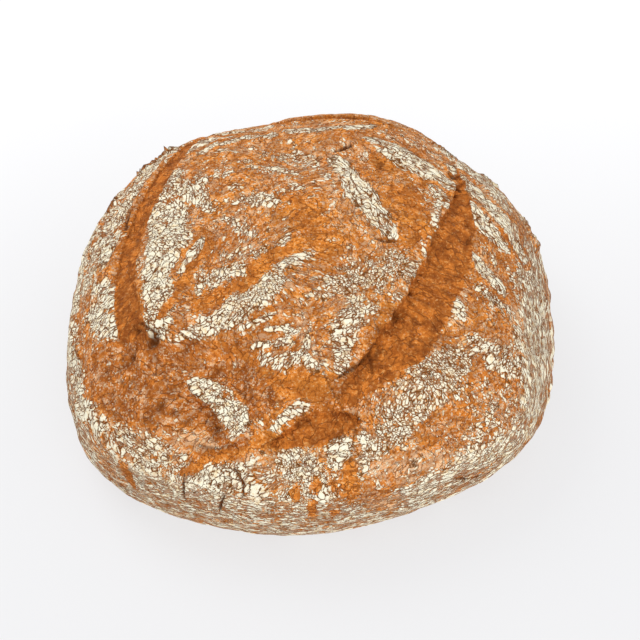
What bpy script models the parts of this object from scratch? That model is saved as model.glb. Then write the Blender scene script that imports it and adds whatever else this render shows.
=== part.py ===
"""A round sourdough loaf: one solid body of bread that rests on a flat base.

The crust is a sheet wrapped over a domed section and closed underneath. Four
scores ring a lifted lid of crust, the front of the ring is torn open, and a
loose flap of crust lies in the tear. Sizes are in millimetres here and become
metres when the mesh is written.
"""

import math

import bmesh
import bpy
import numpy as np
from mathutils import Vector, noise

NAME = "loaf"
COLLECTION = "sourdough_loaf"
MM = 0.001

# The whole loaf
RADIUS = 120.0
HEIGHT = 98.0
BELLY_HEIGHT = 27.0
BASE_RADIUS = 97.0
CROWN_POWER = 2.25
# Lobes of the plan outline: count round the loaf, swell, heading of the first crest (degrees)
LOBES = (
    (2, 2.54, 32.4), (3, 2.84, -27.0), (4, 2.8, -34.1), (5, 1.33, 0.3), (6, 1.17, 21.4), (7, 1.15, 19.3),
)

# The sheet of crust before the scores are cut, and how far round them its cells are split
SHEET_CELLS = 40
SCORE_MARGIN = 4.0
EDGE_MARGIN = 2.2
SECTION_STEPS = 240

# Lumps of the baked dough: size across, height
LUMPS = ((95.0, 3.0), (38.0, 1.5))
LUMP_SEED = Vector((3.7, 1.3, 8.1))

# Each score: the line it was cut on as (x, y, half width), its depth, how far its lip stands up,
# and which side is deeper (+1 is the left of the line, -1 the right, 0 neither).
LEFT_SCORE = {
    "line": ((-36, 97, 2), (-57, 80, 3.4), (-74, 47, 5.2), (-84, 15, 5.6), (-86, -18, 5.6), (-80, -50, 7)),
    "depth": 3.0, "lip": 0.6, "deep_side": -1,
}
RIGHT_SCORE = {
    "line": ((72, 56, 1.5), (73, 33, 4), (69, 6, 9.5), (60, -22, 11), (44, -53, 11.5), (18, -80, 5)),
    "depth": 4.2, "lip": 1.1, "deep_side": -1,
}
BACK_SCORE = {
    "line": ((-18, 91, 2), (4, 93, 5), (24, 92, 5.5), (46, 84, 2)),
    "depth": 3.0, "lip": 0.7, "deep_side": 1,
}
FRONT_SCORE = {
    "line": ((-15, -96, 1.5), (-4, -92, 5), (8, -89, 7), (21, -87, 2)),
    "depth": 2.8, "lip": 0.5, "deep_side": 1,
}
SCORES = (LEFT_SCORE, RIGHT_SCORE, BACK_SCORE, FRONT_SCORE)
SCORE_FLOOR = 0.60

# The torn patch at the front left, where the crust burst open: (x, y, half width)
TEAR_LINE = ((-92, -58, 12), (-72, -70, 17), (-50, -74, 17), (-28, -82, 12), (-10, -86, 8))
TEAR_DEPTH = 1.9
CRAG_SIZE = 11.0
CRAG_HEIGHT = 1.8
CRAG_SEED = Vector((11.0, 4.0, 2.0))

# The loose flap of crust that lies in the tear, and the trough under its lower edge
FLAP_LINE = ((-48, -73, 3.5), (-37, -77, 5.5), (-28, -84, 6), (-31, -91, 2.5))
FLAP_HEIGHT = 2.6
TROUGH_LINE = ((-47, -83, 4), (-39, -90, 5), (-27, -96, 2))
TROUGH_DEPTH = 2.6

# Pits: (x, y, radius, depth)
PITS = (
    (-70, -53, 4.2, 5.5), (-78, -46, 3.2, 3.0), (-81, -58, 2.8, 2.8), (39, -44, 4.0, 2.4),
    (-67, -81, 3.5, 2.2),
)

CRUST_COLOUR = (0.46, 0.19, 0.062, 1.0)
CRUST_ROUGHNESS = 0.78


def clear_scene():
    """Remove every object of the startup scene."""
    for item in list(bpy.data.objects):
        bpy.data.objects.remove(item, do_unlink=True)


def smoothstep(low, high, value):
    """Rise from 0 at low to 1 at high."""
    share = np.clip((value - low) / (high - low), 0.0, 1.0)
    return share * share * (3.0 - 2.0 * share)


def plan_radius(heading):
    """Radius of the loaf's widest outline along each heading."""
    radius = np.full_like(heading, RADIUS)
    for count, swell, crest in LOBES:
        radius += swell * np.cos(count * (heading - math.radians(crest)))
    return radius


def section_table():
    """Half section of the loaf from its crown to the edge of its base, by share of its length.

    Returns the share, the reach from the middle as a share of the radius, and the height.
    """
    turn = np.linspace(0.0, math.pi / 2, SECTION_STEPS)
    power = 2.0 / CROWN_POWER
    crown_reach = np.sin(turn) ** power
    crown_height = BELLY_HEIGHT + (HEIGHT - BELLY_HEIGHT) * np.cos(turn) ** power
    base_share = BASE_RADIUS / RADIUS
    tuck_reach = base_share + (1.0 - base_share) * np.cos(turn)
    tuck_height = BELLY_HEIGHT * (1.0 - np.sin(turn))
    reach = np.concatenate((crown_reach, tuck_reach[1:]))
    height = np.concatenate((crown_height, tuck_height[1:]))
    steps = np.hypot(np.diff(reach) * RADIUS, np.diff(height))
    length = np.concatenate(((0.0,), np.cumsum(steps)))
    return length / length[-1], reach, height


def wrap_over_form(flat):
    """Place points of a flat sheet, from -1 to 1 both ways, on the smooth loaf.

    Returns the points and the directions in which the crust faces.
    """
    disc_x = flat[:, 0] * np.sqrt(1.0 - flat[:, 1] ** 2 / 2.0)
    disc_y = flat[:, 1] * np.sqrt(1.0 - flat[:, 0] ** 2 / 2.0)
    heading = np.arctan2(disc_y, disc_x)
    along = np.clip(np.hypot(disc_x, disc_y), 0.0, 1.0)
    share, reach, height = section_table()
    rise = np.gradient(height, share)
    run = np.gradient(reach * RADIUS, share)
    size = np.hypot(rise, run)
    out = np.interp(along, share, -rise / size)
    up = np.interp(along, share, run / size)
    radius = plan_radius(heading) * np.interp(along, share, reach)
    compass = np.column_stack((np.cos(heading), np.sin(heading)))
    points = np.column_stack((compass * radius[:, None], np.interp(along, share, height)))
    facing = np.column_stack((compass * out[:, None], up))
    return points, facing


def smooth_line(marks, per_span=8):
    """Run a smooth curve through the marks (Catmull-Rom), keeping every column."""
    marks = np.array(marks, dtype=float)
    padded = np.vstack((2 * marks[0] - marks[1], marks, 2 * marks[-1] - marks[-2]))
    curve = []
    for start in range(len(marks) - 1):
        before, first, last, after = padded[start:start + 4]
        for part in np.linspace(0.0, 1.0, per_span, endpoint=False):
            bend = 2 * before - 5 * first + 4 * last - after
            twist = -before + 3 * first - 3 * last + after
            curve.append(first + 0.5 * part * (last - before + part * (bend + part * twist)))
    curve.append(marks[-1])
    return np.array(curve)


def across_line(points, marks):
    """How far each point lies from a line, in half widths, and on which side of it (+1 is left)."""
    line = smooth_line(marks)
    best = np.full(len(points), 1e9)
    side = np.zeros(len(points))
    for start, end in zip(line[:-1], line[1:]):
        span = end[:2] - start[:2]
        offset = points[:, :2] - start[:2]
        along = np.clip(offset @ span / (span @ span), 0.0, 1.0)
        gap = offset - along[:, None] * span
        width = start[2] + along * (end[2] - start[2])
        share = np.hypot(gap[:, 0], gap[:, 1]) / width
        nearer = share < best
        best = np.where(nearer, share, best)
        turn = span[0] * offset[:, 1] - span[1] * offset[:, 0]
        side = np.where(nearer, np.sign(turn), side)
    return best, side


def noise_relief(points, size, seed):
    """Smooth seeded noise between about -1 and 1 at each point, with lumps of one size."""
    return np.array([noise.noise(Vector(point) / size + seed) for point in points])


def score_relief(points, score):
    """Depth of a score below the crust, with the lip that stands beside it."""
    share, side = across_line(points, score["line"])
    lean = 1.0 + 0.35 * score["deep_side"] * side * np.clip(share, 0.0, 1.0)
    floor = 1.0 - smoothstep(SCORE_FLOOR, 1.05, share)
    lip = np.exp(-((share - 1.25) / 0.35) ** 2)
    return score["lip"] * lip - score["depth"] * lean * floor


def tear_relief(points):
    """The sunken torn patch, its crags, the loose flap and the trough under the flap."""
    inside = 1.0 - smoothstep(0.75, 1.15, across_line(points, TEAR_LINE)[0])
    crags = CRAG_HEIGHT * noise_relief(points, CRAG_SIZE, CRAG_SEED)
    flap = 1.0 - smoothstep(0.85, 1.1, across_line(points, FLAP_LINE)[0])
    trough = 1.0 - smoothstep(0.5, 1.1, across_line(points, TROUGH_LINE)[0])
    sunken = inside * (crags - TEAR_DEPTH) - TROUGH_DEPTH * trough
    return sunken * (1.0 - flap) + flap * (FLAP_HEIGHT - TEAR_DEPTH)


def pit_relief(points):
    """Small hollows and holes in the crust."""
    relief = np.zeros(len(points))
    for x, y, radius, depth in PITS:
        share = np.hypot(points[:, 0] - x, points[:, 1] - y) / radius
        relief -= depth * np.exp(-share ** 2 * 1.6)
    return relief


def crust_relief(points):
    """Height of the real crust over the smooth loaf, fading out towards the flat base."""
    relief = pit_relief(points) + tear_relief(points)
    for score in SCORES:
        relief += score_relief(points, score)
    for size, height in LUMPS:
        relief += height * noise_relief(points, size, LUMP_SEED)
    return relief * smoothstep(0.0, BELLY_HEIGHT, points[:, 2])


def sheet_points(mesh):
    """The flat sheet's points as an array."""
    return np.array([vert.co[:2] for vert in mesh.verts])


def widened(marks, margin):
    """A line's marks with a margin added to every half width."""
    return [(x, y, width + margin) for x, y, width in marks]


def near_cuts(points):
    """Which points lie on or beside a score, the tear or the flap."""
    lines = [score["line"] for score in SCORES] + [TEAR_LINE, FLAP_LINE]
    return np.any([across_line(points, widened(line, SCORE_MARGIN))[0] < 1.0 for line in lines], axis=0)


def near_edges(points):
    """Which points lie along the edge of a score or of the flap."""
    close = np.zeros(len(points), dtype=bool)
    for line in [score["line"] for score in SCORES] + [FLAP_LINE]:
        outer = across_line(points, widened(line, EDGE_MARGIN))[0] < 1.0
        inner = across_line(points, line)[0] < SCORE_FLOOR
        close |= outer & ~inner
    return close


def split_cells(mesh, chosen):
    """Split every cell of the sheet that has a chosen corner."""
    points, _ = wrap_over_form(sheet_points(mesh))
    close = chosen(points)
    mesh.verts.index_update()
    cells = [face for face in mesh.faces if any(close[vert.index] for vert in face.verts)]
    edges = list({edge for cell in cells for edge in cell.edges})
    bmesh.ops.subdivide_edges(mesh, edges=edges, cuts=1, use_grid_fill=True)


def wrap_sheet(mesh):
    """Wrap the flat sheet over the loaf, with its relief, and stand it on the ground."""
    points, facing = wrap_over_form(sheet_points(mesh))
    points += facing * crust_relief(points)[:, None]
    points[:, 2] = np.maximum(points[:, 2], 0.0)
    middle = (points.max(axis=0) + points.min(axis=0)) / 2.0
    points[:, :2] -= middle[:2]
    for vert, point in zip(mesh.verts, points):
        vert.co = point * MM


def close_base(mesh):
    """Close the flat base and split every cell into triangles."""
    rim = [edge for edge in mesh.edges if edge.is_boundary]
    bmesh.ops.holes_fill(mesh, edges=rim, sides=0)
    bmesh.ops.triangulate(mesh, faces=mesh.faces[:])
    bmesh.ops.recalc_face_normals(mesh, faces=mesh.faces[:])


def crust_material():
    """Browned crust, the colour of the whole loaf between its flour and its bare scores."""
    material = bpy.data.materials.new("crust")
    material.use_nodes = True
    shader = material.node_tree.nodes["Principled BSDF"]
    shader.inputs["Base Color"].default_value = CRUST_COLOUR
    shader.inputs["Roughness"].default_value = CRUST_ROUGHNESS
    shader.inputs["Metallic"].default_value = 0.0
    material.diffuse_color = CRUST_COLOUR
    return material


def build_loaf(collection):
    """Model the loaf and link it to its collection."""
    mesh = bmesh.new()
    bmesh.ops.create_grid(mesh, x_segments=SHEET_CELLS, y_segments=SHEET_CELLS, size=1.0)
    split_cells(mesh, near_cuts)
    split_cells(mesh, near_edges)
    wrap_sheet(mesh)
    close_base(mesh)
    data = bpy.data.meshes.new(NAME)
    mesh.to_mesh(data)
    mesh.free()
    data.materials.append(crust_material())
    data.shade_smooth()
    data.set_sharp_from_angle(angle=math.radians(50.0))
    loaf = bpy.data.objects.new(NAME, data)
    collection.objects.link(loaf)
    return loaf


def main():
    """Build the loaf in an empty scene."""
    clear_scene()
    collection = bpy.data.collections.new(COLLECTION)
    bpy.context.scene.collection.children.link(collection)
    build_loaf(collection)


main()
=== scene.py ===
"""Dressed sourdough loaf: its crust, scores, torn front and flour, under soft studio light.

One piece, the crust, replaces the plain solid of the loaf. It is a sheet wrapped
over the domed form, cut by four scores round a lifted lid, torn open at the front,
wrinkled on its sides and dusted with flour. Sizes are in millimetres until the mesh
is written in metres. Scores, pits and most cracks are placed in plan, and flour,
flakes and the cracks of the sides on the crust rolled out flat round the crown.
"""

import logging
import math
from dataclasses import dataclass, field
from enum import Enum

import bmesh
import bpy
import numpy as np
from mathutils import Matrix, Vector, noise


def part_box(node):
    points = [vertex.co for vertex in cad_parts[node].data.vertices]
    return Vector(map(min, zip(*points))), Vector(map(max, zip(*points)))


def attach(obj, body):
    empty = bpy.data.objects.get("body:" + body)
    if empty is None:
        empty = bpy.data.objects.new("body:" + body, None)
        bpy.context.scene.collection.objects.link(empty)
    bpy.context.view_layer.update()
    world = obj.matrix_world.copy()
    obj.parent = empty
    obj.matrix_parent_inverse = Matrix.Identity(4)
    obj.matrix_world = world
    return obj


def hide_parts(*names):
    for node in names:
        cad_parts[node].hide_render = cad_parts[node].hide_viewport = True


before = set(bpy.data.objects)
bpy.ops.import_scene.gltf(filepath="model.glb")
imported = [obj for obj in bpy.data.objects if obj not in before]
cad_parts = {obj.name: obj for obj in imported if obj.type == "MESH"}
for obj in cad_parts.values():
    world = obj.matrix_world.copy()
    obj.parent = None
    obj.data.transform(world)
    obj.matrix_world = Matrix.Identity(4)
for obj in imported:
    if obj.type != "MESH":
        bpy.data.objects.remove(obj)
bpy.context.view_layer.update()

LOG = logging.getLogger("sourdough_loaf")
MM = 0.001
NODE = "loaf"
CRAG_FALL = 0.75
CRAG_STEP = 2.1
NOISE_MIDDLE = 0.5
MIX_FIRST, MIX_SECOND, MIX_RESULT = 6, 7, 2
FAR = 1e9
TINY = 1e-6

Marks = tuple[tuple[float, ...], ...]
Triple = tuple[float, float, float]
Span = tuple[float, float]
Colour = tuple[float, ...]


def smoothstep(low: float, high: float, value: np.ndarray) -> np.ndarray:
    """Rise from 0 at low to 1 at high.

    Args:
        low: Value at which the rise starts.
        high: Value at which the rise ends.
        value: Values to map.

    Returns:
        The share of the rise at each value.
    """
    share = np.clip((value - low) / (high - low), 0.0, 1.0)
    return share * share * (3.0 - 2.0 * share)


def lumpy(points: np.ndarray, size: float, seed: Triple) -> np.ndarray:
    """Smooth noise at each point.

    Args:
        points: Places in millimetres.
        size: Distance across one lump.
        seed: Offset that picks this noise.

    Returns:
        A height between about -1 and 1 for each point.
    """
    return np.array([noise.noise(place) for place in (points / size + seed).tolist()])


def craggy(points: np.ndarray, size: float, seed: Triple, octaves: int = 3) -> np.ndarray:
    """Rough noise with finer and finer lumps at each point.

    Args:
        points: Places in millimetres.
        size: Distance across the largest lump.
        seed: Offset that picks this noise.
        octaves: How many times the lumps get finer.

    Returns:
        A height between about -1 and 1 for each point.
    """
    places = (points / size + seed).tolist()
    return np.array([noise.fractal(place, CRAG_FALL, CRAG_STEP, octaves) for place in places])


@dataclass(frozen=True)
class Lumps:
    """Noise of one height and size: smooth, or rough where it has octaves."""

    height: float
    size: float
    seed: Triple
    octaves: int = 0

    def at(self, points: np.ndarray) -> np.ndarray:
        """Work out the height of the noise.

        Args:
            points: Places in millimetres.

        Returns:
            The height at each point.
        """
        if self.octaves:
            return self.height * craggy(points, self.size, self.seed, self.octaves)
        return self.height * lumpy(points, self.size, self.seed)


@dataclass
class Crossing:
    """How a set of points lies across a line."""

    share: np.ndarray
    side: np.ndarray
    inward: np.ndarray
    along: np.ndarray
    offset: np.ndarray
    level: np.ndarray


@dataclass
class CrustLine:
    """A smooth line on the crust: x, y and half width at each mark, and sometimes a level."""

    marks: Marks
    per_span: int = 6

    def curve(self) -> np.ndarray:
        """Run a Catmull-Rom curve through the marks.

        Returns:
            The points of the curve, with every column of the marks.
        """
        marks = np.array(self.marks, dtype=float)
        padded = np.vstack((2 * marks[0] - marks[1], marks, 2 * marks[-1] - marks[-2]))
        places = []
        for start in range(len(marks) - 1):
            before, first, last, after = padded[start:start + 4]
            for part in np.linspace(0.0, 1.0, self.per_span, endpoint=False):
                bend = 2 * before - 5 * first + 4 * last - after
                twist = -before + 3 * first - 3 * last + after
                places.append(first + 0.5 * part * (last - before + part * (bend + part * twist)))
        places.append(marks[-1])
        return np.array(places)

    def reach(self) -> float:
        """The largest half width."""
        return max(mark[2] for mark in self.marks)

    def cross(self, points: np.ndarray) -> Crossing:
        """Measure how points lie across the line.

        Args:
            points: Places in the line's own plane.

        Returns:
            The distance from the line in half widths, the side (+1 is left), the unit
            direction towards the line, the distances along and across it, and the
            fourth column of its marks (1 where there is none).
        """
        line = self.curve()
        if line.shape[1] == 3:
            line = np.column_stack((line, np.ones(len(line))))
        count = len(points)
        best = Crossing(np.full(count, FAR), np.zeros(count), np.zeros((count, 2)), np.zeros(count),
                        np.zeros(count), np.ones(count))
        travelled = 0.0
        for start, end in zip(line[:-1], line[1:]):
            span = end[:2] - start[:2]
            length = math.hypot(*span)
            offset = points[:, :2] - start[:2]
            part = np.clip(offset @ span / length ** 2, 0.0, 1.0)
            gap = offset - part[:, None] * span
            distance = np.hypot(gap[:, 0], gap[:, 1])
            share = distance / (start[2] + part * (end[2] - start[2]))
            near = share < best.share
            turn = span[0] * offset[:, 1] - span[1] * offset[:, 0]
            inward = -gap / np.maximum(distance, TINY)[:, None]
            best.share = np.where(near, share, best.share)
            best.side = np.where(near, np.sign(turn), best.side)
            best.inward = np.where(near[:, None], inward, best.inward)
            best.along = np.where(near, travelled + part * length, best.along)
            best.offset = np.where(near, distance * np.sign(turn), best.offset)
            best.level = np.where(near, start[3] + part * (end[3] - start[3]), best.level)
            travelled += length
        return best


@dataclass
class WrappedSheet:
    """Points of the crust's sheet on the smooth loaf."""

    points: np.ndarray
    facing: np.ndarray
    unrolled: np.ndarray


@dataclass
class LoafForm:
    """The smooth domed form under the crust, with lobes of (count, swell, crest in degrees)."""

    radius: float = 120.0
    height: float = 98.0
    belly_height: float = 27.0
    base_radius: float = 97.0
    crown_power: float = 2.25
    lobes: Marks = (
        (2, 2.54, 32.4), (3, 2.84, -27.0), (4, 2.8, -34.1),
        (5, 1.33, 0.3), (6, 1.17, 21.4), (7, 1.15, 19.3))
    section_steps: int = 400

    def plan_radius(self, heading: np.ndarray) -> np.ndarray:
        """Work out the radius of the widest outline.

        Args:
            heading: Directions from the middle, in radians.

        Returns:
            The radius along each heading.
        """
        radius = np.full_like(heading, self.radius)
        for count, swell, crest in self.lobes:
            radius += swell * np.cos(count * (heading - math.radians(crest)))
        return radius

    def section(self) -> tuple[np.ndarray, np.ndarray, np.ndarray]:
        """Half section from the crown to the edge of the base.

        Returns:
            The length along the section, the reach as a share of the radius, and the height.
        """
        turn = np.linspace(0.0, math.pi / 2, self.section_steps)
        power = 2.0 / self.crown_power
        crown_reach = np.sin(turn) ** power
        crown_height = self.belly_height + (self.height - self.belly_height) * np.cos(turn) ** power
        base_share = self.base_radius / self.radius
        tuck_reach = base_share + (1.0 - base_share) * np.cos(turn)
        tuck_height = self.belly_height * (1.0 - np.sin(turn))
        reach = np.concatenate((crown_reach, tuck_reach[1:]))
        height = np.concatenate((crown_height, tuck_height[1:]))
        steps = np.hypot(np.diff(reach) * self.radius, np.diff(height))
        return np.concatenate(((0.0,), np.cumsum(steps))), reach, height

    def wrap(self, flat: np.ndarray) -> WrappedSheet:
        """Place points of a flat sheet, from -1 to 1 both ways, on the smooth loaf.

        Args:
            flat: The sheet's own points.

        Returns:
            The places, the directions the crust faces, and the crust rolled out flat.
        """
        disc_x = flat[:, 0] * np.sqrt(1.0 - flat[:, 1] ** 2 / 2.0)
        disc_y = flat[:, 1] * np.sqrt(1.0 - flat[:, 0] ** 2 / 2.0)
        heading = np.arctan2(disc_y, disc_x)
        length, reach, height = self.section()
        along = np.clip(np.hypot(disc_x, disc_y), 0.0, 1.0) * length[-1]
        rise = np.gradient(height, length)
        run = np.gradient(reach * self.radius, length)
        size = np.hypot(rise, run)
        out = np.interp(along, length, -rise / size)
        up = np.interp(along, length, run / size)
        radius = self.plan_radius(heading) * np.interp(along, length, reach)
        compass = np.column_stack((np.cos(heading), np.sin(heading)))
        points = np.column_stack((compass * radius[:, None], np.interp(along, length, height)))
        facing = np.column_stack((compass * out[:, None], up))
        return WrappedSheet(points, facing, compass * along[:, None])


@dataclass
class Score:
    """A cut in the crust that opened in the oven. A side of +1 is left of its line."""

    name: str
    line: CrustLine
    depth: float
    lip: float
    deep_side: int
    lip_side: int
    overhang: float
    lean: float = 0.55
    floor_edge: Span = (0.72, 1.05)
    bare_edge: Span = (0.92, 1.06)
    lip_place: float = 1.2
    lip_width: float = 0.25
    overhang_width: float = 0.16
    ragged: float = 0.16
    ragged_size: float = 9.0
    ragged_seed: Triple = (2.0, 9.0, 3.0)

    def frayed(self, points: np.ndarray, crossing: Crossing) -> np.ndarray:
        """Distance from the score's line in half widths, with an uneven edge."""
        return crossing.share + self.ragged * craggy(points, self.ragged_size, self.ragged_seed)

    def relief(self, points: np.ndarray) -> np.ndarray:
        """Work out the height of the score's floor and of the lip beside it.

        Args:
            points: Places on the smooth loaf.

        Returns:
            The height at each point.
        """
        crossing = self.line.cross(points)
        share = self.frayed(points, crossing)
        lean = 1.0 + self.lean * self.deep_side * crossing.side * np.clip(share, 0.0, 1.0)
        floor = 1.0 - smoothstep(*self.floor_edge, share)
        lip = np.exp(-((share - self.lip_place) / self.lip_width) ** 2) * (crossing.side == self.lip_side)
        return crossing.level * (self.lip * lip - self.depth * lean * floor)

    def shift(self, points: np.ndarray) -> np.ndarray:
        """Work out how far the lip leans over the score.

        Args:
            points: Places on the smooth loaf.

        Returns:
            The shift of each point in plan.
        """
        crossing = self.line.cross(points)
        away = (self.frayed(points, crossing) - 1.0) / self.overhang_width
        reach = np.exp(-away ** 2) * (crossing.side == self.lip_side)
        return crossing.inward * (self.overhang * crossing.level * reach)[:, None]

    def bare(self, points: np.ndarray) -> np.ndarray:
        """Where the score shows bare crumb."""
        return 1.0 - smoothstep(*self.bare_edge, self.frayed(points, self.line.cross(points)))


@dataclass
class TornFront:
    """The torn patch at the front left, with its loose flap of crust."""

    tear: CrustLine = field(default_factory=lambda: CrustLine(
        ((-92, -58, 12), (-72, -70, 17), (-50, -74, 17), (-31, -80, 12), (-20, -83, 6))))
    flap: CrustLine = field(default_factory=lambda: CrustLine(
        ((-50, -75, 2.5), (-46, -77, 3.8), (-39, -81, 4.6),
         (-33, -86, 6.2), (-31, -91, 5.6), (-31, -94, 2.5))))
    trough: CrustLine = field(default_factory=lambda: CrustLine(
        ((-47, -83, 3), (-41, -89, 4.8), (-36, -95, 4), (-28, -98, 2))))
    depth: float = 1.7
    tear_edge: Span = (0.75, 1.15)
    tear_bare: Span = (0.85, 1.1)
    crags: Lumps = Lumps(1.5, 11.0, (11.0, 4.0, 2.0))
    flap_height: float = 3.0
    flap_edge: Span = (0.9, 1.06)
    flap_bare: Span = (0.9, 1.0)
    flap_overhang: float = 1.4
    overhang_place: float = 0.95
    overhang_width: float = 0.2
    trough_depth: float = 2.2
    trough_edge: Span = (0.5, 1.1)
    trough_bare: Span = (0.9, 1.1)

    def inside(self, line: CrustLine, edge: Span, points: np.ndarray) -> np.ndarray:
        """How far inside one of the lines each point lies, from 0 to 1."""
        return 1.0 - smoothstep(*edge, line.cross(points).share)

    def relief(self, points: np.ndarray) -> np.ndarray:
        """Work out the height of the tear, its crags, the flap and the trough under it.

        Args:
            points: Places on the smooth loaf.

        Returns:
            The height at each point.
        """
        torn = self.inside(self.tear, self.tear_edge, points)
        flap = self.inside(self.flap, self.flap_edge, points)
        trough = self.inside(self.trough, self.trough_edge, points)
        sunken = torn * (self.crags.at(points) - self.depth) - self.trough_depth * trough
        return sunken * (1.0 - flap) + flap * (self.flap_height - self.depth)

    def shift(self, points: np.ndarray) -> np.ndarray:
        """Work out how far the flap's lower edge leans out over the trough.

        Args:
            points: Places on the smooth loaf.

        Returns:
            The shift of each point in plan.
        """
        crossing = self.flap.cross(points)
        away = (crossing.share - self.overhang_place) / self.overhang_width
        reach = np.exp(-away ** 2) * (crossing.side < 0)
        return -crossing.inward * (self.flap_overhang * reach)[:, None]

    def bare(self, points: np.ndarray) -> np.ndarray:
        """Find where the tear shows bare crumb.

        Args:
            points: Places on the smooth loaf.

        Returns:
            How bare each point is, from 0 to 1.
        """
        torn = self.inside(self.tear, self.tear_bare, points)
        trough = self.inside(self.trough, self.trough_bare, points)
        flap = self.inside(self.flap, self.flap_bare, points)
        return np.maximum(torn, trough) * (1.0 - flap)


@dataclass
class Pits:
    """Small hollows and holes in the crust, each (x, y, radius, depth)."""

    marks: Marks = (
        (-70, -53, 3.6, 5.0), (-78, -46, 2.6, 2.6), (-81, -58, 2.4, 2.6), (39, -44, 3.6, 2.2),
        (-67, -81, 3.5, 2.5), (53, -46, 2.0, 1.8), (60, 4, 1.6, 1.4), (71, 34, 1.5, 1.5),
        (75, 22, 1.4, 1.3), (76, 3, 1.8, 1.6), (47, -31, 1.8, 2.2), (-85, 17, 1.2, 1.4),
        (-85, 11, 1.1, 1.2), (-91, -5, 1.4, 1.6), (-13, 39, 1.0, 1.2), (-1, -24, 0.9, 1.2),
        (0, -40, 1.0, 1.3), (35, 44, 4.6, 1.8), (-24, -138, 1.5, 2.0), (74, 42, 1.3, 1.6),
        (76, 14, 1.5, 1.4), (66, -3, 1.6, 1.5), (44, -18, 1.6, 2.0), (30, -52, 1.6, 2.0),
        (-41, -93, 2.6, 2.4), (-31, -60, 1.6, 1.6), (8, -62, 1.6, 1.2))
    roundness: float = 1.6

    def depth(self, points: np.ndarray) -> np.ndarray:
        """Work out how deep the crust sinks.

        Args:
            points: Places on the smooth loaf.

        Returns:
            The depth at each point.
        """
        sunk = np.zeros(len(points))
        for x, y, radius, depth in self.marks:
            share = np.hypot(points[:, 0] - x, points[:, 1] - y) / radius
            sunk += depth * np.exp(-share ** 2 * self.roundness)
        return sunk


@dataclass
class Flake:
    """A flake of crust that stands up from the rim, on the rolled out sheet."""

    line: CrustLine
    height: float
    # How dark the flake's burnt tip is, in the same dark brown that paints shade elsewhere.
    burnt_and_shade: float

    def raised(self, unrolled: np.ndarray) -> np.ndarray:
        """How far each point is raised, from 0 to 1."""
        return np.exp(-self.line.cross(unrolled).share ** 2)


@dataclass
class Crack:
    """A thin crack in the crust."""

    line: CrustLine
    depth: float = 1.3
    edge: Span = (0.3, 1.3)

    def open(self, points: np.ndarray) -> np.ndarray:
        """How open the crack is at each point, from 0 to 1."""
        return 1.0 - smoothstep(*self.edge, self.line.cross(points).share)


class Cover(Enum):
    """How flour covers a patch of crust."""

    THICK = "thick"
    DUST = "dust"
    VEIL = "veil"
    BARE = "bare"


@dataclass
class FlourPatch:
    """A stroke of flour, or of bare crust, on the rolled out sheet.

    A grain of 2 or more stretches the plates of flour along the stroke by that much.
    A fine patch is crackled into chips, and a ragged one has an uneven edge.
    """

    marks: Marks
    cover: Cover = Cover.THICK
    strength: float = 1.0
    grain: float = 1.6
    ragged: float = 1.0
    fine: float = 0.3
    per_span: int = 4

    def line(self) -> CrustLine:
        """The stroke as a line with widths."""
        return CrustLine(self.marks, self.per_span)


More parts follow.
